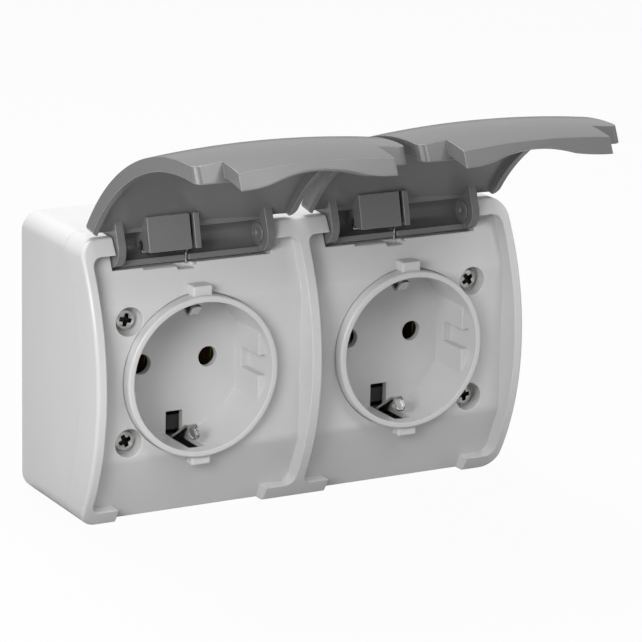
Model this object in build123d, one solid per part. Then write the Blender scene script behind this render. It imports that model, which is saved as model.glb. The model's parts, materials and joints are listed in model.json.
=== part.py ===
from build123d import *
import os
from math import asin, atan2, cos, degrees, radians, sin, sqrt

# Surface-mounted double earthed socket with two sprung lids, shown with both lids open.
# Millimetres. X runs to the right, Y runs into the wall, Z runs up.
# The origin is the centre of the back face, so the wall plane is y = 0 and the front faces -Y.
# Each lid is drawn closed and then swung open about its hinge axis.

# Housing sizes
pitch = 60.4                  # between the centres of the two sockets
rim_width = 2.6               # outer rim and the divider between the sockets
height = 74.4
corner_radius = 5.0           # outer corners seen from the front
corner_radius_least = 1.0     # of the same corners inside a wall
rim_depth = 46.7              # rim front at mid height, from the wall
rim_end_depth = 35.0          # rim front at the top and bottom edges
parting_depth = 35.7          # joint between box and frame at mid height
parting_end_depth = 24.9      # the same joint at the top and bottom edges
box_wall = 2.4
back_wall = 2.5
rim_edge_radius = 0.9
socket_height = 0.5           # socket centre above mid height

# Recess and plate behind each lid
plate_sink = 7.1              # flat middle of the plate behind the rim's front
plate_flat = 19.5             # half height of the flat middle
plate_slope = 0.455           # fall towards the wall for each mm beyond the flat
plate_bend_radius = 5.0
plate_thickness = 2.2
recess_radius = 2.5
bar_drop = 4.0                # underside of the bars that carry the hinges, below the top edge
bar_gap = 22.3                # bar ends from the socket centre
lip_rise = 3.9                # upper side of the feet above the bottom edge
lip_gap = 21.1                # foot ends from the socket centre
notch_left = -5.3             # slot for the spring stop in the plate's top edge
notch_right = 1.3
notch_depth = 1.4
notch_slant = 1.0

# Hinge
hinge_sink = 3.85             # hinge axis behind the rim's front at its height
hinge_drop = 3.2              # hinge axis below the top edge
open_angle = 115.5
stub_radius = 1.75
stub_length = 2.2
hinge_clearance = 0.05
trough_radius = 5.7
trough_wall = 1.4
barrel_radius = 4.9           # outside of the lid's rolled root and ears
barrel_wall = 1.4
barrel_start = -30.0          # the rolled root's first and last angles when closed,
barrel_end = 170.0            # from the front upwards, in degrees

# Lid, measured closed
lid_gap = 0.35                # between lid and rim
lid_proud = 0.2               # outer surface at the side edges, in front of the rim
lid_crown = 1.6               # rise of the outer surface at mid width
lid_hinge_crown = 0.8         # rise at the hinge end
lid_wall = 2.0
skirt_depth = 3.6             # side skirts, from the outer surface to their inner edge
skirt_wall = 1.7
flange_depth = 2.6            # the same for the flange round the grip
foot_gap = 0.4                # between the lid's sides and the feet
bar_gap_below = 0.4           # between the lid's sides and the bars
grip_reach = 2.6              # grip past the housing's bottom edge
grip_gap = 0.35               # between grip and feet
side_top_slant = 34.0         # how far the lid's ends under the bars lean back, in degrees
scallop_height = 2.0          # flange left at mid width of the grip
lid_sections = 6
lid_corner = 2.15             # outer corners of the lid, seen from the front
lid_corner_least = 0.3
barrel_steps = 6
ear_inner = 19.8
ear_outer = 22.0
ear_foot = 5.3                # where each ear runs out on the lid's inside, below the hinge axis

# Spring hood inside each lid, in the open pose and from the hinge axis
hood_left = -13.5
hood_right = -1.7
hood_front = 5.3              # front face at its lower edge
hood_lean = 2.1               # how much nearer the hinge axis the front face ends at its top
hood_top = 7.8
hood_bottom = -0.9
hood_wall = 0.9
hood_clearance = 0.3          # to the plate's top edge when the lid is closed
hood_seat = -2.0              # where the hood's top meets the lid, from the hinge axis
hood_root_angle = -17.0       # where its underside meets the rolled root
hood_middle_angle = 30.0
bracket_left = -0.6
bracket_right = 0.9
spring_pin_radius = 1.3
spring_wire = 0.7
spring_radius = 2.1
spring_turns = 6
spring_end_gap = 0.5          # between the coil and the hood's side walls
spring_leg_front = 0.35       # the leg before the hinge axis
spring_leg_knee = 2.9         # where the leg turns straight down, below the hinge axis
leg_slot_back = 1.5           # slot for the leg in the rolled root, behind the hinge axis
spring_foot_gap = 0.05        # between the leg's end and the trough

# Socket dish
dish_outer = 21.05
dish_inner = 19.5
dish_rise = 3.05              # ring front before the plate's flat middle
dish_hollow = 16.95           # from the ring's front to the dish floor
dish_floor_wall = 2.0
dish_clearance = 0.15
dish_edge_radius = 0.5
pin_offset = 9.5              # half of the 19 mm pin spacing
pin_hole_radius = 2.7
guide_flat = 17.25            # guide planes at either side of the dish
guide_drop = 3.65             # guides behind the ring's front
guide_slot = 5.4
guide_step = 3.6
tab_width = 5.4
tab_reach = 23.5
tab_drop = 1.15               # tabs behind the ring's front
earth_slot = 4.8
earth_slot_inner = 13.4
earth_slot_drop = 3.85        # slots behind the ring's front

# Earth strap
strap_width = 4.0
strap_thickness = 0.8
strap_radius = 20.0           # centre line of the strap beside the dish wall
strap_peak = 14.9             # centre line of the strap where it touches the plug
strap_peak_drop = 7.25        # the same place behind the ring's front
strap_tip_drop = 4.35         # end of the strap behind the ring's front
strap_tip = 17.6
strap_foot_rise = 1.9         # where the strap leaves the dish wall, before the dish floor
strap_back_depth = 4.4
strap_bend = 1.2

# Contact carrier behind each dish
carrier_radius = 19.0
ear_offset = 22.4
ear_radius = 3.6
carrier_ear_front = 14.0
carrier_ear_back = 11.0
pocket_width = 7.6
pocket_top = 5.0
pocket_bottom = -15.6
pocket_clearance = 0.3
pocket_floor = 7.6            # contacts seat here, measured from the wall

# Live contacts
contact_gap = 5.2             # between the two leaves that grip a pin
contact_sheet = 0.8
contact_drop = 2.1            # front of the leaves behind the dish
contact_height = 8.0
contact_lead = 1.6
terminal_drop = 11.6          # terminal screw below the pin axis
terminal_width = 7.0
terminal_height = 6.4
terminal_front = 15.0
terminal_hole = 1.3
terminal_head_radius = 2.4
terminal_head = 1.6
wire_hole = 1.5

# Fasteners
cover_screw_x = 19.5          # outboard of the socket centre
cover_screw_z = 15.8
cover_head_radius = 2.75
cover_head = 2.0
cover_head_sink = 2.2         # heads behind the plate's flat middle
cover_shank = 1.45
cover_screw_length = 18.0
cover_recess_radius = 3.75
well_wall = 1.1               # round the well of each cover screw
cover_hole_radius = 1.7
cover_floor = 2.0
boss_radius = 3.4
pilot_spare = 1.0
carrier_screw_length = 8.0
cross_width = 0.9
cross_span = 3.0
cross_depth = 1.3
slot_depth = 0.8
head_round = 0.45             # rounding of a screw head's rim, as a share of its height

# Seal, cable entries and wall fixing
seal_width = 1.2
seal_thickness = 1.0
entry_radius = 8.0
entry_depth = 12.6            # entry centre from the wall
grommet_flange = 10.0
grommet_flange_thickness = 1.2
grommet_edge_radius = 0.7
grommet_bead = 0.9            # ring that holds the grommet inside the top wall
grommet_wall = 1.4
grommet_membrane = 0.8
fixing_x = 92.0
fixing_z = 54.0
fixing_slot = 9.0
fixing_radius = 2.25
fixing_pad = 1.5              # thickening of the back wall round each slot
pad_margin = 2.0
knockout_radius = 8.0
knockout_groove = 0.8

# Worked out from the sizes above
centres = {"left": -pitch / 2, "right": pitch / 2}
half_clear = (pitch - rim_width) / 2
width = 2 * pitch + rim_width
lid_half = half_clear - lid_gap
grip_half = lip_gap - grip_gap
bar_bottom = height / 2 - bar_drop
lip_top = lip_rise - height / 2
hinge_height = height / 2 - hinge_drop
side_bottom = lip_top + foot_gap
side_top = bar_bottom - bar_gap_below
grip_bottom = -height / 2 - grip_reach
plate_depth = rim_depth - plate_sink
dish_front = plate_depth + dish_rise
dish_floor = dish_front - dish_hollow
dish_back = dish_floor - dish_floor_wall
guide_front = dish_front - guide_drop
tab_front = dish_front - tab_drop
earth_slot_front = dish_front - earth_slot_drop
contact_front = dish_back - contact_drop
carrier_back = strap_back_depth + strap_thickness / 2
terminal_middle = (terminal_front + pocket_floor) / 2
cover_head_front = plate_depth - cover_head_sink
recess_floor = cover_head_front - cover_head
frame_boss_back = recess_floor - cover_floor
ample = 200.0                 # reach of a cut that only has to go right through
over = 1.0                    # how far a cutting body runs past the face it opens


def arc_radius(mid_depth, end_depth):
    """Radius of the upright arc through mid height and both ends of the housing."""
    rise = mid_depth - end_depth
    return (rise ** 2 + (height / 2) ** 2) / (2 * rise)


rim_radius = arc_radius(rim_depth, rim_end_depth)
arc_centre = rim_radius - rim_depth
parting_radius = arc_radius(parting_depth, parting_end_depth)
parting_centre = parting_radius - parting_depth
lid_side_radius = rim_radius + lid_proud


def arc_front(radius, z):
    """Y of a surface about the rim's centre, at a height."""
    return arc_centre - sqrt(radius ** 2 - z ** 2)


hinge_depth = -arc_front(rim_radius, hinge_height) - hinge_sink
hinge_axis = Axis((0, -hinge_depth, hinge_height), (1, 0, 0))
hinge_angle = degrees(atan2(hinge_height, arc_centre + hinge_depth))


def rod_x(radius, y, z, x0, x1):
    """Round bar along X from x0 to x1."""
    return extrude(Plane.YZ.offset(x0) * Pos(y, z) * Circle(radius), x1 - x0)


def rod_y(radius, x, z, front, back=0.0):
    """Round bar along Y, from one depth in front of the wall to a smaller one."""
    return extrude(Plane.XZ.offset(back) * Pos(x, z) * Circle(radius), front - back)


def block(x0, x1, front, back, z0, z1):
    """Upright block between two depths in front of the wall."""
    return Pos((x0 + x1) / 2, -(front + back) / 2, (z0 + z1) / 2) * Box(x1 - x0, front - back, z1 - z0)


def prism_x(points, x0, x1):
    """Outline given as (y, z) points, carried along X."""
    return extrude(Plane.YZ.offset(x0) * make_face(Polyline(*points, close=True)), x1 - x0)


def prism_y(outline, front, back=0.0):
    """Outline in the XZ plane, carried from one depth in front of the wall to a smaller one."""
    return extrude(Plane.XZ.offset(back) * outline, front - back)


def housing_prism(inset, front, back=0.0):
    """The housing's rounded rectangle, drawn in by an inset."""
    radius = max(corner_radius - inset, corner_radius_least)
    return prism_y(RectangleRounded(width - 2 * inset, height - 2 * inset, radius), front, back)


def behind_plate(drop):
    """Everything behind the plate's front surface, or behind it by a drop."""
    stretch = sqrt(1 + plate_slope ** 2)
    flat_face = drop - plate_depth
    slope_end = drop * stretch - plate_depth + plate_slope * (height - plate_flat)
    bend = plate_flat - drop * (stretch - 1) / plate_slope
    points = [(slope_end, -height), (flat_face, -bend), (flat_face, bend), (slope_end, height)]
    points += [(height, height), (height, -height)]
    solid = prism_x(points, -width, width)
    bends = solid.edges().filter_by(Axis.X).sort_by(Axis.Y)[:2]
    return fillet(bends, plate_bend_radius)


def recess_outline():
    """Front outline of one recess, about the socket centre: open above and below its middle."""
    middle = (bar_bottom + lip_top) / 2
    pocket = Pos(0, middle) * RectangleRounded(2 * half_clear, bar_bottom - lip_top, recess_radius)
    above = Pos(0, height / 2) * Rectangle(2 * bar_gap, height)
    below = Pos(0, -height / 2) * Rectangle(2 * lip_gap, height)
    return pocket + above + below


def trough_profile(radius, x0, x1, front):
    """Round-bottomed channel about the hinge axis, open upwards from the axis."""
    y = -hinge_depth
    round_part = rod_x(radius, y, hinge_height, x0, x1)
    upper = block(x0, x1, front, hinge_depth - radius, hinge_height, hinge_height + height / 2)
    return round_part + upper


def cover_screw_places():
    """Centres of the four cover screws, outboard of each socket."""
    places = {}
    for side, cx in centres.items():
        x = cx + (cover_screw_x if cx > 0 else -cover_screw_x)
        for level, dz in (("upper", cover_screw_z), ("lower", -cover_screw_z)):
            places[f"{side}_{level}"] = (x, socket_height + dz)
    return places


def make_base_box():
    """Open-fronted back box with its bosses, wall fixing slots and cable entries."""
    parting = rod_x(parting_radius, parting_centre, 0, -width, width)
    box = housing_prism(0, rim_depth) & parting
    box = fillet(box.faces().sort_by(Axis.Y)[-1].edges(), rim_edge_radius)
    box -= housing_prism(box_wall, rim_depth, back_wall)
    seal_step = housing_prism(seal_width, rim_depth)
    seal_step -= Pos(0, seal_thickness, 0) * parting
    box -= seal_step
    for x, z in cover_screw_places().values():
        box += rod_y(boss_radius, x, z, frame_boss_back, back_wall)
        box -= rod_y(cover_shank, x, z, frame_boss_back, recess_floor - cover_screw_length - pilot_spare)
    for cx in centres.values():
        for dx in (-ear_offset, ear_offset):
            box += rod_y(boss_radius, cx + dx, socket_height, carrier_ear_back, back_wall)
            box -= rod_y(cover_shank, cx + dx, socket_height, carrier_ear_back, back_wall + pilot_spare)
        knockout = Circle(knockout_radius) - Circle(knockout_radius - knockout_groove)
        lower_wall = Plane((cx, -entry_depth, -height / 2 + box_wall), z_dir=(0, 0, -1))
        box -= extrude(lower_wall * knockout, box_wall / 2)
        entry = Plane((cx, -entry_depth, height / 2 - box_wall - over), z_dir=(0, 0, 1))
        box -= extrude(entry * Circle(entry_radius), box_wall + 2 * over)
    for x in (-fixing_x / 2, fixing_x / 2):
        for z in (-fixing_z / 2, fixing_z / 2):
            pad = Pos(x, z) * SlotOverall(fixing_slot + 2 * pad_margin, 2 * (fixing_radius + pad_margin))
            box += prism_y(pad, back_wall + fixing_pad, back_wall)
            slot = Pos(x, z) * SlotOverall(fixing_slot, 2 * fixing_radius)
            box -= prism_y(slot, back_wall + fixing_pad + over, -over)
    return box


def make_front_frame():
    """Front moulding: rims, divider, two recessed plates, hinge bars, feet and hinge troughs."""
    rim = rod_x(rim_radius, arc_centre, 0, -width, width)
    parting = rod_x(parting_radius, parting_centre, 0, -width, width)
    plate = behind_plate(0)
    frame = housing_prism(0, rim_depth + over) & rim
    frame = fillet(frame.faces().sort_by(Axis.Y)[0].edges(), rim_edge_radius)
    for cx in centres.values():
        frame -= prism_y(Pos(cx, 0) * recess_outline(), rim_depth + over) - plate
    frame -= parting
    frame -= housing_prism(box_wall, rim_depth) & behind_plate(plate_thickness)
    envelope = (housing_prism(0, rim_depth) & plate) - parting
    for cx in centres.values():
        end = bar_gap + trough_wall
        channel = trough_profile(trough_radius + trough_wall, cx - end, cx + end, rim_depth)
        frame += channel & envelope
        frame -= trough_profile(trough_radius, cx - bar_gap, cx + bar_gap, ample)
        for side in (-1, 1):
            x0 = cx + side * (bar_gap + trough_wall)
            x1 = cx + side * (bar_gap - stub_length)
            frame += rod_x(stub_radius, -hinge_depth, hinge_height, min(x0, x1), max(x0, x1))
        edge = plate_top_edge()
        top = edge + notch_depth
        foot = edge - notch_depth
        corners = [(cx + notch_left, top), (cx + notch_left + notch_slant, foot)]
        corners += [(cx + notch_right - notch_slant, foot), (cx + notch_right, top)]
        notch = make_face(Polyline(*corners, close=True))
        frame -= prism_y(notch, rim_depth, hinge_depth)
        frame -= Pos(cx, 0, 0) * hood_sweep()
    for x, z in cover_screw_places().values():
        inside_plate = plate_depth - plate_thickness / 2
        frame += rod_y(cover_recess_radius + well_wall, x, z, inside_plate, frame_boss_back)
        frame -= rod_y(cover_recess_radius, x, z, rim_depth, recess_floor)
        frame -= rod_y(cover_hole_radius, x, z, rim_depth, frame_boss_back - over)
    for cx in centres.values():
        frame -= rod_y(dish_outer + dish_clearance, cx, socket_height, rim_depth)
    return frame


def hood_sweep():
    """Room that the hood and its bracket take at the plate's top edge when the lid is closed."""
    outline = hood_outline(hood_clearance, hood_clearance)
    room = prism_x(outline, hood_left - hood_clearance, bracket_right + hood_clearance)
    return room.rotate(hinge_axis, open_angle)


def plate_top_edge():
    """Height at which the trough cuts the plate's sloping front surface."""
    offset = plate_depth - hinge_depth + plate_slope * plate_flat
    a = 1 + plate_slope ** 2
    b = -2 * hinge_height - 2 * plate_slope * offset
    c = hinge_height ** 2 + offset ** 2 - trough_radius ** 2
    return (-b - sqrt(b ** 2 - 4 * a * c)) / (2 * a)


def make_box_seal():
    """Soft ring in the step round the box's front edge."""
    parting = rod_x(parting_radius, parting_centre, 0, -width, width)
    ring = housing_prism(seal_width, rim_depth) - housing_prism(box_wall, rim_depth)
    return (ring & parting) - Pos(0, seal_thickness, 0) * parting


def make_dish(cx):
    """Round socket dish with guide flats, tabs, pin holes and slots for the earth strap."""
    z = socket_height
    dish = rod_y(dish_outer, cx, z, dish_front, dish_back)
    dish = fillet(dish.edges().sort_by(Axis.Y)[0], dish_edge_radius)
    bowl = rod_y(dish_inner, cx, z, dish_front + over, dish_floor)
    guides = block(cx + guide_flat, cx + ample, guide_front, dish_floor, -ample, ample)
    guides += block(cx - ample, cx - guide_flat, guide_front, dish_floor, -ample, ample)
    guides = bowl & guides
    half = guide_slot / 2
    channel = block(cx - ample, cx + ample, dish_front, dish_floor + guide_step, z - half, z + half)
    dish -= bowl
    dish += guides - channel
    half_tab = tab_width / 2
    tabs = block(cx - half_tab, cx + half_tab, tab_front, dish_floor, z - tab_reach, z + tab_reach)
    tabs = fillet(tabs.edges().filter_by(Axis.Z).sort_by(Axis.Y)[:2], dish_edge_radius)
    tabs = fillet(tabs.edges().filter_by(Axis.X).sort_by(Axis.Y)[:2], dish_edge_radius)
    tabs -= rod_y(dish_outer - dish_edge_radius, cx, z, dish_front + over)
    dish += tabs - behind_plate(0)
    for dx in (-pin_offset, pin_offset):
        dish -= rod_y(pin_hole_radius, cx + dx, z, dish_floor + over, dish_back - over)
    half = earth_slot / 2
    for side in (-1, 1):
        z0, z1 = sorted((z + side * earth_slot_inner, z + side * (dish_outer + over)))
        dish -= block(cx - half, cx + half, earth_slot_front, dish_back - over, z0, z1)
    return dish


def bent_strip(points, thickness, x0, x1, bend):
    """Strip of even thickness that follows (y, z) points with rounded bends, carried along X."""
    path = FilletPolyline(*points, radius=bend)
    face = trace(path, thickness)
    return extrude(Plane.YZ.offset(x0) * face, x1 - x0)


def make_earth_strap(cx):
    """U-shaped earth strap whose two sprung ends reach into the dish above and below."""
    half = [(strap_tip_drop - dish_front, strap_tip), (strap_peak_drop - dish_front, strap_peak)]
    half += [(-strap_foot_rise - dish_floor, strap_radius), (-strap_back_depth, strap_radius)]
    upper = [(y, socket_height + r) for y, r in half]
    lower = [(y, socket_height - r) for y, r in reversed(half)]
    side = strap_width / 2
    strip = bent_strip(upper + lower, strap_thickness, cx - side, cx + side, strap_bend)
    return strip + terminal_block(cx, carrier_back)


def terminal_places(cx):
    """X of the three terminals of one socket: two live contacts and the earth between them."""
    return [cx - pin_offset, cx, cx + pin_offset]


def make_carrier(cx):
    """Insulating block behind the dish, with pockets for the contacts and two screw ears."""
    z = socket_height
    carrier = rod_y(carrier_radius, cx, z, dish_back, carrier_back)
    ears = SlotOverall(2 * (ear_offset + ear_radius), 2 * ear_radius)
    carrier += prism_y(Pos(cx, z) * ears, carrier_ear_front, carrier_ear_back)
    for dx in (-ear_offset, ear_offset):
        carrier -= rod_y(cover_hole_radius, cx + dx, z, carrier_ear_front + over, carrier_ear_back - over)
    for dx in (-pin_offset, pin_offset):
        x0 = cx + dx - pocket_width / 2
        z0 = z + pocket_bottom
        carrier -= block(x0, x0 + pocket_width, dish_back + over, pocket_floor, z0, z + pocket_top)
    half = terminal_width / 2 + pocket_clearance
    z0 = z - terminal_drop - terminal_height / 2 - pocket_clearance
    z1 = z - terminal_drop + terminal_height / 2 + pocket_clearance
    carrier -= block(cx - half, cx + half, dish_back + over, carrier_back - over, z0, z1)
    for x in terminal_places(cx):
        entry = Plane((x, -terminal_middle, z - terminal_drop), z_dir=(0, 0, -1))
        carrier -= extrude(entry * Circle(wire_hole + pocket_clearance), carrier_radius)
    return carrier


def terminal_block(x, back):
    """Brass clamp block with a screw hole from the front and a wire hole from below."""
    z = socket_height - terminal_drop
    half = terminal_width / 2
    rise = terminal_height / 2
    terminal = block(x - half, x + half, terminal_front, back, z - rise, z + rise)
    terminal -= rod_y(terminal_hole, x, z, terminal_front + over, terminal_middle)
    wire = Plane((x, -terminal_middle, z), z_dir=(0, 0, -1))
    return terminal - extrude(wire * Circle(wire_hole), terminal_height, both=True)


def make_contact(x):
    """Brass pin contact: two leaves on a back strip that runs down to its terminal block."""
    z0 = socket_height - contact_height / 2
    z1 = socket_height + contact_height / 2
    inner = contact_gap / 2
    outer = inner + contact_sheet
    mouth = contact_front - contact_lead
    right = [(x + outer, -pocket_floor), (x + outer, -mouth)]
    right += [(x + inner + contact_sheet / 2, -contact_front)]
    right += [(x + inner, -mouth + contact_sheet), (x + inner, -pocket_floor - contact_sheet)]
    left = [(2 * x - px, py) for px, py in reversed(right)]
    clip = extrude(Plane.XY.offset(z0) * make_face(Polyline(*right, *left, close=True)), z1 - z0)
    strip_bottom = socket_height - terminal_drop
    strip = block(x - inner, x + inner, pocket_floor + contact_sheet, pocket_floor, strip_bottom, z0)
    return clip + strip + terminal_block(x, pocket_floor)


def pan_screw(x, z, head_front, length):
    """Pan-head screw along Y, its head to the front, with a cross recess."""
    seat = head_front - cover_head
    screw = rod_y(cover_head_radius, x, z, head_front, seat)
    screw = fillet(screw.edges().sort_by(Axis.Y)[0], cover_head * head_round)
    screw += rod_y(cover_shank, x, z, seat, seat - length)
    arm = cross_width / 2
    half = cross_span / 2
    floor = head_front - cross_depth
    screw -= block(x - half, x + half, head_front + over, floor, z - arm, z + arm)
    return screw - block(x - arm, x + arm, head_front + over, floor, z - half, z + half)


def make_terminal_screws(cx):
    """The three clamp screws of one socket, a group of separate solids."""
    z = socket_height - terminal_drop
    screws = []
    for x in terminal_places(cx):
        screw = rod_y(terminal_head_radius, x, z, terminal_front + terminal_head, terminal_front)
        screw += rod_y(terminal_hole, x, z, terminal_front, terminal_middle + wire_hole)
        half = cross_width / 2
        top = terminal_front + terminal_head
        screw -= block(x - ample, x + ample, top + over, top - slot_depth, z - half, z + half)
        screws.append(screw)
    return Compound(children=screws)


def make_carrier_screws(cx):
    """The two screws that hold one carrier on the box, a group of separate solids."""
    front = carrier_ear_front + cover_head
    places = [cx - ear_offset, cx + ear_offset]
    return Compound(children=[pan_screw(x, socket_height, front, carrier_screw_length) for x in places])


def make_grommet(cx):
    """Rubber entry grommet in the top wall: outer flange, neck and pierceable membrane."""
    top = height / 2
    base = Plane((cx, -entry_depth, 0), z_dir=(0, 0, 1))
    outer = extrude(base.offset(top) * Circle(grommet_flange), grommet_flange_thickness)
    outer = fillet(outer.edges().sort_by(Axis.Z)[-1], grommet_edge_radius)
    neck = extrude(base.offset(top - box_wall) * Circle(entry_radius), box_wall)
    bead = Circle(entry_radius + grommet_bead)
    bead = extrude(base.offset(top - box_wall - grommet_bead) * bead, grommet_bead)
    bore = Circle(entry_radius - grommet_wall)
    well = extrude(base * bore, ample)
    membrane = extrude(base.offset(top - box_wall / 2) * bore, grommet_membrane)
    return outer + neck + bead - well + membrane


def lid_section(angle, drop):
    """Section of the lid's full form at an angle about the rim's centre, its top lowered by a drop.

    The top is an arc through both sides and the crown, and the crown fades towards the hinge.
    """
    fade = max(0.0, angle / hinge_angle) ** 2
    crown = lid_crown + (lid_hinge_crown - lid_crown) * fade
    tilt = radians(angle)
    plane = Plane((0, arc_centre, 0), x_dir=(1, 0, 0), z_dir=(0, sin(tilt), cos(tilt)))
    side = lid_side_radius - drop
    floor = lid_side_radius - skirt_depth - 2 * lid_wall
    top = ThreePointArc((-lid_half, -side), (0, -side - crown), (lid_half, -side))
    walls = Polyline((lid_half, -side), (lid_half, -floor), (-lid_half, -floor), (-lid_half, -side))
    return plane * make_face([top, walls])


def lid_form(drop):
    """Solid under the lid's crowned surface, from below the grip up to the hinge."""
    sections = []
    lowest = degrees(asin((grip_bottom - 2 * over) / lid_side_radius))
    for step in range(lid_sections + 1):
        angle = lowest + (hinge_angle - lowest) * step / lid_sections
        sections.append(lid_section(angle, drop))
    return loft(sections)


def lid_front(inset):
    """Front outline of the lid, drawn in by an inset: full width above, the narrower grip below."""
    half = lid_half - inset
    grip = grip_half - inset
    bottom = side_bottom + inset
    wide = Pos(0, (bottom + ample) / 2) * Rectangle(2 * half, ample - bottom)
    corners = wide.vertices().sort_by(Axis.Y)[:2]
    wide = fillet(corners, max(lid_corner - inset, lid_corner_least))
    low = grip_bottom + inset
    tongue = Pos(0, (low + bottom + over) / 2) * Rectangle(2 * grip, bottom + over - low)
    return prism_y(wide + tongue, ample)


def barrel_sector(radius, x0, x1, first, last):
    """Sector of a bar about the hinge axis, between two angles from the front upwards."""
    y = -hinge_depth
    reach = 4 * radius
    rays = []
    for step in range(barrel_steps + 1):
        angle = radians(first + (last - first) * step / barrel_steps)
        rays.append((y - reach * cos(angle), hinge_height + reach * sin(angle)))
    wedge = prism_x([(y, hinge_height)] + rays, x0, x1)
    return rod_x(radius, y, hinge_height, x0, x1) & wedge


def above_side_ends():
    """What lies past the lid's ends under the bars: a plane that leans back, with rounded corners."""
    tilt = radians(side_top_slant)
    tip = arc_front(lid_side_radius, side_top)
    end_plane = Plane((0, tip, side_top), x_dir=(1, 0, 0), z_dir=(0, -sin(tilt), cos(tilt)))
    below = Pos(0, -ample / 2) * Rectangle(2 * lid_half, ample)
    below = fillet(below.vertices().sort_by(Axis.Y)[-2:], lid_corner)
    past = Rectangle(2 * ample, 2 * ample) - below - Rectangle(2 * ear_outer, 3 * ample)
    return extrude(end_plane * past, ample, both=True)


def scallop():
    """Hollow cut into the grip's flange: a soft wave from corner to corner, seen from below."""
    corner = arc_front(lid_side_radius - flange_depth, grip_bottom)
    middle = arc_front(lid_side_radius + lid_crown, grip_bottom) + scallop_height
    halfway = (corner + middle) / 2
    wave = [TangentArc((-grip_half, corner), (-grip_half / 2, halfway), tangent=(1, 0))]
    wave.append(TangentArc(wave[0] @ 1, (0, middle), tangent=wave[0] % 1))
    wave.append(TangentArc(wave[1] @ 1, (grip_half / 2, halfway), tangent=(1, 0)))
    wave.append(TangentArc(wave[2] @ 1, (grip_half, corner), tangent=wave[2] % 1))
    back = Polyline((grip_half, corner), (grip_half, ample), (-grip_half, ample), (-grip_half, corner))
    outline = make_face([*wave, back])
    return extrude(Plane.XY.offset(grip_bottom - over) * outline, side_bottom - grip_bottom)


def ear_outline():
    """Side outline of an ear, closed: from the lid's inside past the hinge hole to the rolled root."""
    inside = lid_side_radius - lid_wall
    foot = hinge_height - ear_foot
    middle = inside + lid_wall / 2
    points = [(arc_front(inside, foot), foot), (-hinge_depth, hinge_height - barrel_radius)]
    points += [(-hinge_depth, hinge_height), (arc_front(middle, hinge_height), hinge_height)]
    return points + [(arc_front(middle, foot), foot)]


def make_closed_lid():
    """One lid about x = 0, closed: crowned shell, skirts, flanged grip, rolled root and ears."""
    y = -hinge_depth
    lid = lid_form(0) & lid_front(0)
    lid -= lid_form(lid_wall) & lid_front(skirt_wall)
    upper = block(-ample, ample, ample, -ample, side_bottom, ample)
    lower = block(-ample, ample, ample, -ample, -ample, side_bottom)
    lid -= rod_x(lid_side_radius - skirt_depth, arc_centre, 0, -ample, ample) & upper
    lid -= rod_x(lid_side_radius - flange_depth, arc_centre, 0, -ample, ample) & lower
    lid -= scallop()
    lid -= above_side_ends()
    lid += barrel_sector(barrel_radius, -ear_outer, ear_outer, barrel_start, barrel_end)
    lid -= rod_x(barrel_radius - barrel_wall, y, hinge_height, -ear_inner, ear_inner)
    for side in (-1, 1):
        x0, x1 = sorted((side * ear_inner, side * ear_outer))
        lid += rod_x(barrel_radius, y, hinge_height, x0, x1) + prism_x(ear_outline(), x0, x1)
    return lid - rod_x(stub_radius + hinge_clearance, y, hinge_height, -ample, ample)


def hood_outline(growth, spill):
    """Side outline of the spring hood in the open pose, grown at its front and top and spilt below."""
    front = -hinge_depth - hood_front - growth
    top = hinge_height + hood_top + growth
    bottom = hinge_height + hood_bottom - spill
    root = barrel_radius - barrel_wall / 2
    low = (-hinge_depth + root * cos(radians(hood_root_angle)), bottom)
    turn = radians(hood_middle_angle)
    middle = (-hinge_depth + root * cos(turn), hinge_height + root * sin(turn))
    high = (-hinge_depth + hood_seat, top)
    return [(front, bottom), low, middle, high, (front + hood_lean, top)]


def make_lid(cx):
    """One lid as shown: swung open, with the hood and bracket that cover its spring."""
    closed = make_closed_lid().rotate(hinge_axis, -open_angle)
    inner_left = hood_left + hood_wall
    inner_right = hood_right - hood_wall
    hood = prism_x(hood_outline(0, 0), hood_left, hood_right)
    hood -= prism_x(hood_outline(-hood_wall, over), inner_left, inner_right)
    hood -= rod_x(barrel_radius - barrel_wall, -hinge_depth, hinge_height, inner_left, inner_right)
    bracket = prism_x(hood_outline(0, 0), bracket_left, bracket_right)
    pin_hole = rod_x(spring_pin_radius, -hinge_depth, hinge_height, hood_left - over, bracket_right + over)
    slot_front = hinge_depth + barrel_radius + over
    slot_foot = hinge_height - barrel_radius - over
    slot_head = hinge_height + hood_bottom
    leg_slot = block(hood_right, bracket_left, slot_front, hinge_depth - leg_slot_back, slot_foot, slot_head)
    return Pos(cx, 0, 0) * (closed + hood + bracket - pin_hole - leg_slot)


def make_spring_pin(cx):
    """Steel pin that carries the coil spring, held in the hood and the bracket."""
    return rod_x(spring_pin_radius, -hinge_depth, hinge_height, cx + hood_left, cx + bracket_right)


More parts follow.
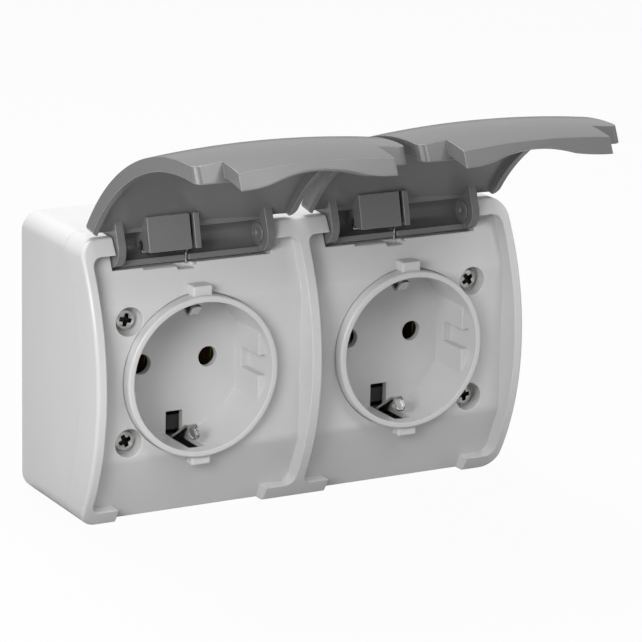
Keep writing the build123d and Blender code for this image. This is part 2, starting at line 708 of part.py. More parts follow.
def make_lid_spring(cx):
    """Coil spring on its pin: one tail under the hood's wall, one leg down into the plate's slot."""
    left = hood_left + hood_wall + spring_end_gap
    right = hood_right - hood_wall - spring_end_gap
    half = spring_wire / 2
    tail_angle = asin((hood_bottom - half) / spring_radius)
    tail_y = -hinge_depth - spring_radius * cos(tail_angle)
    tail_z = hinge_height + spring_radius * sin(tail_angle)
    towards_tail = (0, -cos(tail_angle), sin(tail_angle))
    coil_plane = Plane((left, -hinge_depth, hinge_height), x_dir=towards_tail, z_dir=(1, 0, 0))
    path = coil_plane * Helix((right - left) / spring_turns, right - left, spring_radius)
    coil = sweep(Plane(path @ 0, z_dir=path % 0) * Circle(half), path, is_frenet=True)
    leg_x = (hood_right + bracket_left) / 2
    leg_y = -hinge_depth - spring_leg_front
    knee = hinge_height - spring_leg_knee
    foot_rise = spring_foot_gap - sqrt(trough_radius ** 2 - (spring_leg_front + half) ** 2)
    corners = [(right - half, tail_y, tail_z), (leg_x, tail_y, tail_z), (leg_x, leg_y, knee)]
    corners.append((leg_x, leg_y, hinge_height + foot_rise))
    leg_path = FilletPolyline(*corners, radius=spring_wire)
    leg = sweep(Plane(leg_path @ 0, z_dir=leg_path % 0) * Circle(half), leg_path)
    return Pos(cx, 0, 0) * (leg + coil + rod_x(half, tail_y, tail_z, hood_left - half, left + half))


nodes = {"base_box": make_base_box(), "front_frame": make_front_frame(), "box_seal": make_box_seal()}
for side, cx in centres.items():
    nodes[f"dish_{side}"] = make_dish(cx)
    nodes[f"contact_carrier_{side}"] = make_carrier(cx)
    nodes[f"line_contact_{side}"] = make_contact(cx - pin_offset)
    nodes[f"neutral_contact_{side}"] = make_contact(cx + pin_offset)
    nodes[f"earth_strap_{side}"] = make_earth_strap(cx)
    nodes[f"terminal_screws_{side}"] = make_terminal_screws(cx)
    nodes[f"carrier_screws_{side}"] = make_carrier_screws(cx)
    nodes[f"cable_grommet_{side}"] = make_grommet(cx)
    nodes[f"lid_{side}"] = make_lid(cx)
    nodes[f"spring_pin_{side}"] = make_spring_pin(cx)
    nodes[f"lid_spring_{side}"] = make_lid_spring(cx)
for place, (x, z) in cover_screw_places().items():
    nodes[f"cover_screw_{place}"] = pan_screw(x, z, cover_head_front, cover_screw_length)

os.makedirs("parts", exist_ok=True)
for name, shape in nodes.items():
    export_step(shape, f"parts/{name}.step")
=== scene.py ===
"""Looks of a surface-mounted double earthed socket with two hinged lids.

Metres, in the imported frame: X to the right, Y into the wall, Z up, the wall face at y = 0.
"""
import json
from math import asin, cos, pi, radians, sin

import bpy
import numpy as np
from mathutils import Matrix, Vector

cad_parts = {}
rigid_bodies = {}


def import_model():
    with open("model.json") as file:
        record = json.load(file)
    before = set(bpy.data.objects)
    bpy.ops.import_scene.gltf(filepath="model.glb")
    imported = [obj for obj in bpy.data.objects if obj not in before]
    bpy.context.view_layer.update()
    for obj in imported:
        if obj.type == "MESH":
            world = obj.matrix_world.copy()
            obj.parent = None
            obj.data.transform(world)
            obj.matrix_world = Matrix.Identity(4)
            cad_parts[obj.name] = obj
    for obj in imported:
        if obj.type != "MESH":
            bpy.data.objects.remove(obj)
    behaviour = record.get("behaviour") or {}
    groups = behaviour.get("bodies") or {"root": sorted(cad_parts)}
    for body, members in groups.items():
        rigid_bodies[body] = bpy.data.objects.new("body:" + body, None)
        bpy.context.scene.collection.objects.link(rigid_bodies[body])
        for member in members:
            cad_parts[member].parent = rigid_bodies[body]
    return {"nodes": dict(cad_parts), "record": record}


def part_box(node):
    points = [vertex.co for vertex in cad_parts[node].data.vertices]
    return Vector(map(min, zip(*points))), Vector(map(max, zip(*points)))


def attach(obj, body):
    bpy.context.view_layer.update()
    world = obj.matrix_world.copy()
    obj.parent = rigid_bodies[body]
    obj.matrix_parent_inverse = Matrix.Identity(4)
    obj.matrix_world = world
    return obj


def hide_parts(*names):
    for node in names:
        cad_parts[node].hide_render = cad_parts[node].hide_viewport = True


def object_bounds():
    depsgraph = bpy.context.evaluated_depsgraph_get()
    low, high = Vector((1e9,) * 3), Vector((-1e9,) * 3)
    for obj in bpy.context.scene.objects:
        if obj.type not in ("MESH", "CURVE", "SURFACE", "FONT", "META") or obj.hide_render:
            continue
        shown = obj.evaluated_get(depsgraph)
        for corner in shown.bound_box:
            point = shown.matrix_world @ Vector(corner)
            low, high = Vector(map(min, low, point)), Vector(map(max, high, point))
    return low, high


MM = 0.001

# Numbers of a Mix node's colour sockets: the two that go in, and the one that comes out
MIX_COLOUR_A = 6
MIX_COLOUR_B = 7
MIX_COLOUR = 2

# Camera: the photograph's viewpoint, worked out from the pin spacing and the open lids
VIEW_AZIMUTH = radians(-28.858)
VIEW_ELEVATION = radians(15.131)
VIEW_ROLL = radians(1.199)
VIEW_DISTANCE = 925.868 * MM
VIEW_TARGET = Vector((24.821, 0.0, -0.871)) * MM
FOCAL_PIXELS = 3430.456
IMAGE_PIXELS = 642
SENSOR = 36.0
CENTRE_SHIFT_PIXELS = (5.748, -2.463)

# Lamps: name, place in metres, diameter in metres, watts
LAMPS = (
    ("key_lamp", (-0.24, -0.20, 0.10), 0.12, 0.46),
    ("front_lamp", (-0.45, -0.60, 0.35), 0.30, 1.1),
    ("top_lamp", (0.00, 0.25, 0.70), 0.50, 6.6),
    ("lid_lamp", (0.15, -0.45, 0.45), 0.30, 1.2),
    ("side_lamp", (0.70, -0.50, 0.20), 0.40, 0.8),
)

# Surroundings: their light on the object, their strength in mirrors, and the floor's colour and glow
AMBIENT = 0.12
MIRRORED = 0.5
FLOOR_HALF = 6.0
FLOOR_TONE = 0.45
FLOOR_GLOW = 0.96

# From here on, lengths are in millimetres and turns in degrees

# Screws: head radius, head height, shank radius, length under the head, recess span
COVER_SCREW = (2.75, 2.0, 1.45, 18.0, 3.2)
CARRIER_SCREW = (2.75, 2.0, 1.45, 8.0, 3.2)
TERMINAL_SCREW = (2.4, 1.6, 1.3, 2.2, 0.0)
COVER_SCREW_TURNS = {"left_upper": -14.0, "left_lower": 24.0, "right_upper": 36.0, "right_lower": 5.0}
DOME_SHARE = 0.25          # of the head's height
RIM_SHARE = 0.3            # of the head's height
HEAD_CHAMFER = 0.1
THREAD_PITCH = 1.4
THREAD_DEPTH = 0.28
THREAD_SHARPNESS = 0.6
RECESS_DEPTH = 1.25
RECESS_WIDTH = 0.95
RECESS_FLARE = 0.5         # how much wider the cross is at its middle
FLARE_REACH = 0.7
WALL_SLOPE = 0.09
SLOT_WIDTH = 0.9
SLOT_DEPTH = 0.8

# Spring, from the hinge axis of its lid
WIRE_RADIUS = 0.35
COIL_RADIUS = 2.1
COIL_TURNS = 6
COIL_STEPS = 48            # points in each turn
COIL_LEFT = -12.1
COIL_RIGHT = -3.1
TAIL_LEFT = -13.85
TAIL_DROP = -1.25
LEG_X = -1.15
LEG_FRONT = 0.35
LEG_KNEE = -2.9
LEG_END = -5.6
LEG_BEND = 0.7
PIN_RADIUS = 1.3
PIN_CHAMFER = 0.2

# Boss on the inner face of each lid ear
EAR_FACE = 19.8
BOSS_RADIUS = 2.6
BOSS_RISE = 0.45
BOSS_EDGE = 0.2
DIMPLE_RADIUS = 1.1
DIMPLE_EDGE = 0.12
DIMPLE_FLOOR = 0.1

# Earth strap, from the socket centre: (depth, distance) of its bends, from the tip to the back
STRAP_BENDS = ((38.3, 17.4), (35.6, 14.3), (27.6, 20.0), (4.4, 20.0))
STRAP_WIDTH = 4.0
STRAP_TAPER = 1.1
STRAP_THICKNESS = 0.8
STRAP_BEND = 1.2
STRAP_HOLLOW = 0.22
SPRUNG_DEPTH = 31.0        # the strap narrows and hollows about this depth, over twice the blend
SPRUNG_BLEND = 3.0
TIP_SHRINK = 0.35
TIP_REACH = 1.6            # in steps of the path
BLOCK_HALF = 3.5
BLOCK_DROP = 11.6
BLOCK_RISE = 3.2
BLOCK_FRONT = 15.0
BLOCK_BACK = 4.8
BLOCK_EDGE = 0.25
SOCKET_HEIGHT = 0.5

# Radius at which a turned profile starts and ends, closed by a fan
POLE = 0.02

# Wall fixing slots, whose skins a screw is driven through
FIXING_PLACES = ((-46.0, -27.0), (46.0, -27.0), (-46.0, 27.0), (46.0, 27.0))
FIXING_LENGTH = 9.0
FIXING_RADIUS = 2.25
FIXING_DEPTH = 4.0
SKIN_THICKNESS = 0.4

# Grommet
GROMMET_DEPTH = 12.6
GROMMET_TOP = 37.2
GROMMET_FLANGE = 10.0
GROMMET_NECK = 8.0
GROMMET_BORE = 6.6
GROMMET_RISE = 1.2
GROMMET_WALL = 2.4
FLANGE_ROUND = 0.7
BEAD_RISE = 0.9
BEAD_HALF = 0.45
BEAD_TAPER = 0.4
MEMBRANE_TOP = -0.4
MEMBRANE_UNDERSIDE = -1.2
RIB_PLACES = (2.6, 3.9, 5.2)
RIB_TOP = -0.22


def clear_scene():
    """Takes away whatever the empty file came with."""
    for thing in list(bpy.data.objects):
        bpy.data.objects.remove(thing)


def set_camera():
    """Long lens at the photograph's angle, with the small shift that its framing needs."""
    back = Vector((sin(VIEW_AZIMUTH) * cos(VIEW_ELEVATION),
                   -cos(VIEW_AZIMUTH) * cos(VIEW_ELEVATION),
                   sin(VIEW_ELEVATION)))
    level = Vector((0, 0, 1)).cross(back).normalized()
    upright = back.cross(level)
    right = cos(VIEW_ROLL) * level + sin(VIEW_ROLL) * upright
    up = cos(VIEW_ROLL) * upright - sin(VIEW_ROLL) * level
    turn = Matrix((right, up, back)).transposed().to_4x4()
    lens = bpy.data.cameras.new("photo_lens")
    lens.sensor_width = SENSOR
    lens.lens = FOCAL_PIXELS / IMAGE_PIXELS * SENSOR
    lens.shift_x = CENTRE_SHIFT_PIXELS[0] / IMAGE_PIXELS
    lens.shift_y = CENTRE_SHIFT_PIXELS[1] / IMAGE_PIXELS
    lens.clip_start = 0.05
    lens.clip_end = 20.0
    camera = bpy.data.objects.new("photo_camera", lens)
    camera.matrix_world = Matrix.Translation(VIEW_TARGET + back * VIEW_DISTANCE) @ turn
    bpy.context.scene.collection.objects.link(camera)
    bpy.context.scene.camera = camera


class Finish:
    """One node material, with short calls for the nodes that it needs."""

    def __init__(self, name):
        self.material = bpy.data.materials.new(name)
        self.material.use_nodes = True
        self.tree = self.material.node_tree
        self.shader = self.tree.nodes["Principled BSDF"]
        self.coordinates = self.add("ShaderNodeTexCoord").outputs["Object"]

    def add(self, kind, **settings):
        node = self.tree.nodes.new(kind)
        for key, value in settings.items():
            setattr(node, key, value)
        return node

    def link(self, source, target):
        self.tree.links.new(source, target)

    def noise(self, size, detail=3.0, stretch=(1, 1, 1)):
        """Noise whose features measure about size metres, drawn out by stretch."""
        mapping = self.add("ShaderNodeMapping")
        mapping.inputs["Scale"].default_value = [1 / (size * s) for s in stretch]
        self.link(self.coordinates, mapping.inputs["Vector"])
        noise = self.add("ShaderNodeTexNoise")
        noise.inputs["Scale"].default_value = 1.0
        noise.inputs["Detail"].default_value = detail
        self.link(mapping.outputs["Vector"], noise.inputs["Vector"])
        return noise.outputs["Fac"]

    def spread(self, source, low, high):
        """Maps a noise's usual range to low and high."""
        ranging = self.add("ShaderNodeMapRange")
        ranging.inputs["From Min"].default_value = 0.3
        ranging.inputs["From Max"].default_value = 0.7
        ranging.inputs["To Min"].default_value = low
        ranging.inputs["To Max"].default_value = high
        self.link(source, ranging.inputs["Value"])
        return ranging.outputs["Result"]

    def shade(self, source, dark, light):
        """Colour that runs from dark to light with a noise."""
        ramp = self.add("ShaderNodeValToRGB")
        ramp.color_ramp.elements[0].position = 0.3
        ramp.color_ramp.elements[1].position = 0.7
        ramp.color_ramp.elements[0].color = (*dark, 1)
        ramp.color_ramp.elements[1].color = (*light, 1)
        self.link(source, ramp.inputs["Fac"])
        self.link(ramp.outputs["Color"], self.shader.inputs["Base Color"])
        return ramp.outputs["Color"]

    def mix(self, share, plain, other):
        """Base colour that goes from a plain one to another, constant one."""
        mix = self.add("ShaderNodeMix", data_type="RGBA")
        self.link(share, mix.inputs["Factor"])
        self.link(plain, mix.inputs[MIX_COLOUR_A])
        mix.inputs[MIX_COLOUR_B].default_value = (*other, 1)
        self.link(mix.outputs[MIX_COLOUR], self.shader.inputs["Base Color"])

    def math(self, operation, *values):
        """One Math node over sockets and numbers."""
        node = self.add("ShaderNodeMath", operation=operation, use_clamp=True)
        for i, value in enumerate(values):
            if isinstance(value, (int, float)):
                node.inputs[i].default_value = value
            else:
                self.link(value, node.inputs[i])
        return node.outputs[0]

    def edge_highlight_mask(self, radius):
        """Mask of the painted edge highlight: nearly 1 along outer edges and 0 on faces and in inner corners.

        It is where the rounded normal leaves the true one, times where nothing near shades the surface.
        """
        rounded = self.add("ShaderNodeBevel", samples=6)
        rounded.inputs["Radius"].default_value = radius
        true = self.add("ShaderNodeNewGeometry").outputs["Normal"]
        dot = self.add("ShaderNodeVectorMath", operation="DOT_PRODUCT")
        self.link(rounded.outputs["Normal"], dot.inputs[0])
        self.link(true, dot.inputs[1])
        turn = self.math("SUBTRACT", 1.0, dot.outputs["Value"])
        edge = self.math("MULTIPLY", self.math("SUBTRACT", turn, 0.015), 9.0)
        shade = self.add("ShaderNodeAmbientOcclusion", samples=6)
        shade.inputs["Distance"].default_value = 2.5 * radius
        free = self.math("MULTIPLY", self.math("SUBTRACT", shade.outputs["AO"], 0.75), 5.0)
        return self.math("MULTIPLY", edge, free)

    def relief(self, layers, edge_radius=0.0):
        """Bump from (noise, height in metres) layers, over edges rounded by edge_radius."""
        normal = None
        if edge_radius:
            rounding = self.add("ShaderNodeBevel", samples=6)
            rounding.inputs["Radius"].default_value = edge_radius
            normal = rounding.outputs["Normal"]
        for source, height in layers:
            bump = self.add("ShaderNodeBump")
            bump.inputs["Distance"].default_value = height
            self.link(source, bump.inputs["Height"])
            if normal:
                self.link(normal, bump.inputs["Normal"])
            normal = bump.outputs["Normal"]
        self.link(normal, self.shader.inputs["Normal"])

    def constant(self, socket, value):
        self.shader.inputs[socket].default_value = value


def moulded_plastic(name, tone, roughness, edge_radius, edge_highlight_tone):
    """Satin moulding: even grey with faint flow marks, a fine spark-eroded grain and a painted highlight
    along its outer edges.
    """
    finish = Finish(name)
    flow = finish.noise(18 * MM, 2.0, (1, 1, 2.5))
    plain = finish.shade(flow, [tone * 0.98] * 3, [tone * 1.015] * 3)
    # Painted highlight: the colour is lightened along outer edges.
    finish.mix(finish.edge_highlight_mask(0.8 * edge_radius), plain, [edge_highlight_tone] * 3)
    grain = finish.noise(0.16 * MM, 2.0)
    soft = finish.noise(6 * MM, 1.0)
    finish.link(finish.spread(soft, roughness - 0.02, roughness + 0.02), finish.shader.inputs["Roughness"])
    finish.relief([(soft, 0.006 * MM), (grain, 0.0006 * MM)], edge_radius)
    finish.constant("Specular IOR Level", 0.5)
    return finish.material


def sheet_metal(name, colour, roughness, edge_radius, grain=(1, 1, 8)):
    """Rolled metal with fine drawn lines and small differences in polish."""
    finish = Finish(name)
    lines = finish.noise(0.25 * MM, 2.0, grain)
    patches = finish.noise(3 * MM, 3.0)
    finish.shade(patches, [c * 0.9 for c in colour], colour)
    finish.link(finish.spread(lines, roughness - 0.04, roughness + 0.05), finish.shader.inputs["Roughness"])
    finish.relief([(lines, 0.0004 * MM)], edge_radius)
    finish.constant("Metallic", 1.0)
    return finish.material


def plated_screw(name, colour, roughness, edge_radius):
    """Bright plated steel whose colour turns nearly black down in the driver's recess, as painted shade."""
    finish = Finish(name)
    patches = finish.noise(1.5 * MM, 3.0)
    recess = finish.add("ShaderNodeAttribute", attribute_name="shade").outputs["Fac"]
    # Painted shade: the colour is mixed towards nearly black where the recess is deep.
    finish.mix(recess, finish.shade(patches, [c * 0.85 for c in colour], colour), (0.02, 0.02, 0.02))
    worn = finish.spread(patches, roughness - 0.05, roughness + 0.07)
    finish.link(worn, finish.shader.inputs["Roughness"])
    finish.relief([(patches, 0.002 * MM)], edge_radius)
    finish.constant("Metallic", 1.0)
    return finish.material


def soft_rubber(name, tone):
    """Matt moulded rubber with a coarse grain."""
    finish = Finish(name)
    grain = finish.noise(0.4 * MM, 4.0)
    finish.shade(finish.noise(6 * MM), [tone * 0.85] * 3, [tone * 1.1] * 3)
    finish.link(finish.spread(grain, 0.7, 0.85), finish.shader.inputs["Roughness"])
    finish.relief([(grain, 0.02 * MM)], 0.3 * MM)
    finish.constant("Specular IOR Level", 0.3)
    return finish.material


def make_finishes():
    """Every material slot of the record, by its name."""
    return {
        # The last number of each plastic is the colour of its painted edge highlight.
        "housing_plastic": moulded_plastic("housing_plastic", 0.63, 0.30, 0.45 * MM, 0.78),
        "lid_plastic": moulded_plastic("lid_plastic", 0.16, 0.24, 0.4 * MM, 0.32),
        # The carrier plastic is nearly black as painted shade, so that the deep slots and pin holes read
        # dark.
        "carrier_plastic": moulded_plastic("carrier_plastic", 0.02, 0.6, 0.3 * MM, 0.03),
        "contact_brass": sheet_metal("contact_brass", (0.80, 0.58, 0.26), 0.32, 0.1 * MM),
        "nickelled_strip": sheet_metal("nickelled_strip", (0.60, 0.59, 0.57), 0.2, 0.06 * MM),
        "screw_steel": plated_screw("screw_steel", (0.62, 0.62, 0.60), 0.22, 0.08 * MM),
        "spring_steel": sheet_metal("spring_steel", (0.55, 0.55, 0.55), 0.25, 0.05 * MM, (6, 1, 1)),
        "seal_rubber": soft_rubber("seal_rubber", 0.05),
        "grommet_rubber": soft_rubber("grommet_rubber", 0.16),
    }


def dress_nodes(frame, finishes):
    """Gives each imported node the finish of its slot."""
    for part in frame["record"]["subparts"]:
        mesh = frame["nodes"][part["node"]].data
        mesh.materials.clear()
        mesh.materials.append(finishes[part["material_slot"]])


def closed_skin(rings):
    """Points and faces of a closed skin: every ring is joined to the next, and a fan closes each end.

    Its faces are turned round where the sum of p0 . (p1 x p2) over its triangles, six times its volume, is
    negative, so that they point outwards.
    """
    rings = np.asarray(rings, float)
    count, sides = rings.shape[:2]
    points = np.concatenate([rings.reshape(-1, 3), [rings[0].mean(axis=0)], [rings[-1].mean(axis=0)]])
    here = np.arange(sides)
    beyond = np.roll(here, -1)
    row = np.arange(count - 1)[:, None] * sides
    last = (count - 1) * sides
    near = np.stack([row + here, row + beyond, row + sides + beyond], -1).reshape(-1, 3)
    far = np.stack([row + here, row + sides + beyond, row + sides + here], -1).reshape(-1, 3)
    start = np.stack([beyond, here, np.full(sides, count * sides)], -1)
    end = np.stack([last + here, last + beyond, np.full(sides, count * sides + 1)], -1)
    faces = np.concatenate([near, far, start, end])
    corners = points[faces] - points.mean(axis=0)
    volume = np.einsum("ij,ij->i", corners[:, 0], np.cross(corners[:, 1], corners[:, 2])).sum()
    if volume < 0:
        faces = faces[:, ::-1]
    return points, faces


def piece(name, skins, material, body, replaced, painted_shades=None):
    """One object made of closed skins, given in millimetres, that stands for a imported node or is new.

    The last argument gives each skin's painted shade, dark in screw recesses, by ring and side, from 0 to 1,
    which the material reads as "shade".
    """
    points = []
    faces = []
    for rings in skins:
        more_points, more_faces = closed_skin(rings)
        faces.append(more_faces + sum(map(len, points)))
        points.append(more_points)
    mesh = bpy.data.meshes.new(name)
    mesh.from_pydata((np.concatenate(points) * MM).tolist(), [], np.concatenate(faces).tolist())
    mesh.shade_smooth()
    mesh.set_sharp_from_angle(angle=radians(50))
    mesh.materials.append(material)
    if painted_shades:
        shade = [np.append(painted_shade, (painted_shade[0].mean(), painted_shade[-1].mean())) for painted_shade in painted_shades]
        mesh.attributes.new("shade", "FLOAT", "POINT").data.foreach_set("value", np.concatenate(shade))
    thing = bpy.data.objects.new(name, mesh)
    bpy.context.scene.collection.objects.link(thing)
    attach(thing, body)
    if replaced:
        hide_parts(replaced)


def smooth_step(value):
    """0 below -1, 1 above 1 and 3t^2 - 2t^3 between, with t = (value + 1) / 2."""
    t = np.clip((value + 1) / 2, 0, 1)
    return t * t * (3 - 2 * t)


def arc(middle, radius, start, end, count):
    """Points of a profile on an arc about middle, from one angle to another: m + r (cos t, sin t)."""
    angle = np.linspace(start, end, count)
    return np.stack([middle[0] + radius * np.cos(angle), middle[1] + radius * np.sin(angle)], 1).tolist()


def turned(profile, origin, axis, sides=64):
    """Surface of revolution: (radius, distance) points of a profile turned about an axis through origin."""
    axis = np.array(axis, float)
    first = np.cross(axis, (0.31, 0.52, 0.8))
    first /= np.linalg.norm(first)
    second = np.cross(axis, first)
    angle = np.linspace(0, 2 * pi, sides, endpoint=False)[None, :, None]
    radius, along = np.array(profile).T[:, :, None, None]
    return np.array(origin) + along * axis + radius * (np.cos(angle) * first + np.sin(angle) * second)


def recess_depth(x, z, span):
    """Depth of a screw's recess at (x, z).

    Cross: RECESS_DEPTH (1 - b^2 / span^2) S(w(b) / 2 - a) S(span / 2 - b), with a and b the smaller and
    larger of |x| and |z|, and w(b) = RECESS_WIDTH + RECESS_FLARE exp(-(b / FLARE_REACH)^2), so that its
    inner corners are round. S is smooth_step over WALL_SLOPE. A span of 0 stands for a plain slot.
    """
    a = np.minimum(abs(x), abs(z))
    b = np.maximum(abs(x), abs(z))
    if not span:
        return SLOT_DEPTH * smooth_step((SLOT_WIDTH / 2 - abs(z)) / WALL_SLOPE)
    width = RECESS_WIDTH + RECESS_FLARE * np.exp(-(b / FLARE_REACH) ** 2)
    inside = smooth_step((width / 2 - a) / WALL_SLOPE) * smooth_step((span / 2 - b) / WALL_SLOPE)
    return RECESS_DEPTH * (1 - (b / span) ** 2) * inside


def screw(x, z, front, sizes, turn=0.0, sides=96):
    """Skin and shade of a pan-head screw along Y: domed top with its recess, rounded rim, cut thread.

    The shank's radius is r - THREAD_DEPTH |2 frac(s / THREAD_PITCH - a / 2 pi) - 1|^THREAD_SHARPNESS at a
    distance s under the head and an angle a, and it runs to a cone at the end.
    """
    head, height, shank, length, span = sizes
    angle = np.linspace(0, 2 * pi, sides, endpoint=False)
    rings = []
    dome = DOME_SHARE * height
    rim = RIM_SHARE * height
    for radius in np.linspace(0.03, head - rim, 40):
        px, pz = radius * np.cos(angle), radius * np.sin(angle)
        depth = dome * (radius / head) ** 2 + recess_depth(px, pz, span)
        rings.append((np.full(sides, radius), depth))
    low = dome * ((head - rim) / head) ** 2
    for t in np.linspace(0, pi / 2, 8)[1:]:
        rings.append((np.full(sides, head - rim + rim * sin(t)), np.full(sides, low + rim * (1 - cos(t)))))
    rings.append((np.full(sides, head), np.full(sides, height - HEAD_CHAMFER)))
    rings.append((np.full(sides, head - HEAD_CHAMFER), np.full(sides, height)))
    rings.append((np.full(sides, shank + 0.05), np.full(sides, height)))
    for along in np.arange(0.05, length, THREAD_PITCH / 8):
        wave = abs(2 * np.mod(along / THREAD_PITCH - angle / (2 * pi), 1) - 1) ** THREAD_SHARPNESS
        taper = min(1.0, (length - along) / (1.2 * shank) + 0.12)
        rings.append(((shank - THREAD_DEPTH * wave) * taper, np.full(sides, height + along)))
    rings.append((np.full(sides, 0.1 * shank), np.full(sides, height + length)))
    radius, depth = (np.array(value) for value in zip(*rings))
    px, pz = radius * np.cos(angle), radius * np.sin(angle)
    c, s = cos(radians(turn)), sin(radians(turn))
    skin = np.stack([x + c * px - s * pz, depth - front, z + s * px + c * pz], -1)
    deep = np.where((radius < head - rim) & (depth < height), recess_depth(px, pz, span), 0)
    return skin, np.clip(1.6 * deep / RECESS_DEPTH, 0, 1)


def rounded_path(points, bend, step=0.25):
    """Plane path through corner points, each corner an arc of radius bend, as evenly spaced points."""
    points = [np.array(point, float) for point in points]
    path = [points[0]]
    for before, corner, after in zip(points, points[1:], points[2:]):
        u = (before - corner) / np.linalg.norm(before - corner)
        v = (after - corner) / np.linalg.norm(after - corner)
        half = np.arccos(np.clip(u @ v, -1, 1)) / 2
        start = corner + u * bend / np.tan(half)
        middle = corner + (u + v) / np.linalg.norm(u + v) * bend / np.sin(half)
        end = corner + v * bend / np.tan(half)
        for t in np.linspace(0, 1, 9):
            ray = (1 - t) * (start - middle) + t * (end - middle)
            path.append(middle + ray / np.linalg.norm(ray) * bend)
    path.append(points[-1])
    path = np.array(path)
    length = np.concatenate([[0], np.cumsum(np.linalg.norm(np.diff(path, axis=0), axis=1))])
    even = np.linspace(0, length[-1], int(length[-1] / step) + 1)
    return np.stack([np.interp(even, length, path[:, i]) for i in range(path.shape[1])], 1)


def tube(path, radius, sides=16):
    """Round wire: p(s, a) = path(s) + radius (n(s) cos a + b(s) sin a), with n carried along unturned.

    Each end is a flat dome of three shrinking rings.
    """
    path = np.asarray(path)
    ahead = np.gradient(path, axis=0)
    ahead /= np.linalg.norm(ahead, axis=1)[:, None]
    angle = np.linspace(0, 2 * pi, sides, endpoint=False)[:, None]
    normal = np.cross(ahead[0], (0.2, 0.4, 0.9))
    rings = []
    for point, forward in zip(path, ahead):
        normal = normal - forward * (normal @ forward)
        normal /= np.linalg.norm(normal)
        side = np.cross(forward, normal)
        rings.append(point + radius * (np.cos(angle) * normal + np.sin(angle) * side))
    domes = []
    for ring, outward in ((rings[0], -ahead[0]), (rings[-1], ahead[-1])):
        middle = ring.mean(axis=0)
        reach = 0.5 * radius * outward
        domes.append([middle + (ring - middle) * cos(t) + reach * sin(t) for t in (0.5, 1.0, 1.4)])
    return domes[0][::-1] + rings + domes[1]


def coil_path(hinge):
    """Centre line of one lid spring: straight tail, helix, and a leg that turns down to the trough.

    The helix is (x, -R cos a, R sin a) about the hinge axis, with x even along its turns.
    """
    hx, hy, hz = hinge
    start = asin(TAIL_DROP / COIL_RADIUS)
    along = np.linspace(0, 1, COIL_TURNS * COIL_STEPS + 1)
    angle = start - 2 * pi * COIL_TURNS * along
    coil = np.stack([COIL_LEFT + (COIL_RIGHT - COIL_LEFT) * along,
                     -COIL_RADIUS * np.cos(angle), COIL_RADIUS * np.sin(angle)], 1)
    tail = np.linspace((TAIL_LEFT, coil[0][1], coil[0][2]), coil[0], 12)[:-1]
    corners = [coil[-1], (LEG_X, coil[-1][1], coil[-1][2]), (LEG_X, -LEG_FRONT, LEG_KNEE)]
    corners.append((LEG_X, -LEG_FRONT, LEG_END))
    leg = rounded_path(corners, LEG_BEND)[1:]
    return np.concatenate([tail, coil, leg]) + np.array((hx, hy, hz))


def make_springs(hinges, finishes):
    """Both coil springs and the pins that carry them."""
    for side, hinge in hinges.items():
        piece(f"spring_wire_{side}", [tube(coil_path(hinge), WIRE_RADIUS)], finishes["spring_steel"],
              "housing", f"lid_spring_{side}")
        low, high = (corner[0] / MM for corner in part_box(f"spring_pin_{side}"))
        inner = PIN_RADIUS - PIN_CHAMFER
        profile = [(POLE, 0), (inner, 0), (PIN_RADIUS, PIN_CHAMFER), (PIN_RADIUS, high - low - PIN_CHAMFER),
                   (inner, high - low), (POLE, high - low)]
        pin = turned(profile, (low, hinge[1], hinge[2]), (1, 0, 0))
        piece(f"spring_axle_{side}", [pin], finishes["spring_steel"], f"lid_{side}", f"spring_pin_{side}")


def make_ear_bosses(hinges, finishes):
    """Low round bosses, each with a dimple, that close the hinge holes on the inner faces of the lid ears."""
    profile = [(POLE, DIMPLE_FLOOR), (DIMPLE_RADIUS - 0.15, DIMPLE_FLOOR), (DIMPLE_RADIUS, 2 * DIMPLE_FLOOR),
               (DIMPLE_RADIUS, BOSS_RISE - DIMPLE_EDGE)]
    profile += arc((DIMPLE_RADIUS + DIMPLE_EDGE, BOSS_RISE - DIMPLE_EDGE), DIMPLE_EDGE, pi, pi / 2, 5)
    profile += arc((BOSS_RADIUS - BOSS_EDGE, BOSS_RISE - BOSS_EDGE), BOSS_EDGE, pi / 2, 0, 6)
    profile += [(BOSS_RADIUS, 0.0), (POLE, 0.0)]
    for side, (cx, hy, hz) in hinges.items():
        for end, way in (("left", 1), ("right", -1)):
            skin = turned(profile, (cx - way * EAR_FACE, hy, hz), (way, 0, 0), 64)
            piece(f"ear_boss_{side}_{end}", [skin], finishes["lid_plastic"], f"lid_{side}", None)


def make_screws(finishes):
    """Cover screws with cross recesses, carrier screws behind them and slotted terminal screws."""
    steel = finishes["screw_steel"]
    for place, turn in COVER_SCREW_TURNS.items():
        low, high = (np.array(corner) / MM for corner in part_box(f"cover_screw_{place}"))
        middle = (low + high) / 2
        skin, painted_shade = screw(middle[0], middle[2], -low[1], COVER_SCREW, turn)
        piece(f"plate_screw_{place}", [skin], steel, "housing", f"cover_screw_{place}", [painted_shade])
    for side in ("left", "right"):
        for kind, sizes, count in (("carrier", CARRIER_SCREW, 2), ("terminal", TERMINAL_SCREW, 3)):
            low, high = (np.array(corner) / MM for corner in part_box(f"{kind}_screws_{side}"))
            places = np.linspace(low[0] + sizes[0], high[0] - sizes[0], count)
            z = (low[2] + high[2]) / 2
            skins, painted_shades = zip(*[screw(x, z, -low[1], sizes, 40.0 * i, 48) for i, x in enumerate(places)])
            piece(f"{kind}_fasteners_{side}", skins, steel, "housing", f"{kind}_screws_{side}",
                  painted_shades)


def strap_section(across, hollow):
    """Points round the strap's section: a flat oval |u|^6 + |v|^6 = 1 with its middle pushed in."""
    angle = np.linspace(0, 2 * pi, 40, endpoint=False)
    u = np.sign(np.cos(angle)) * abs(np.cos(angle)) ** (1 / 3)
    v = np.sign(np.sin(angle)) * abs(np.sin(angle)) ** (1 / 3)
    return across / 2 * u, STRAP_THICKNESS / 2 * v - hollow * (1 - u ** 2)


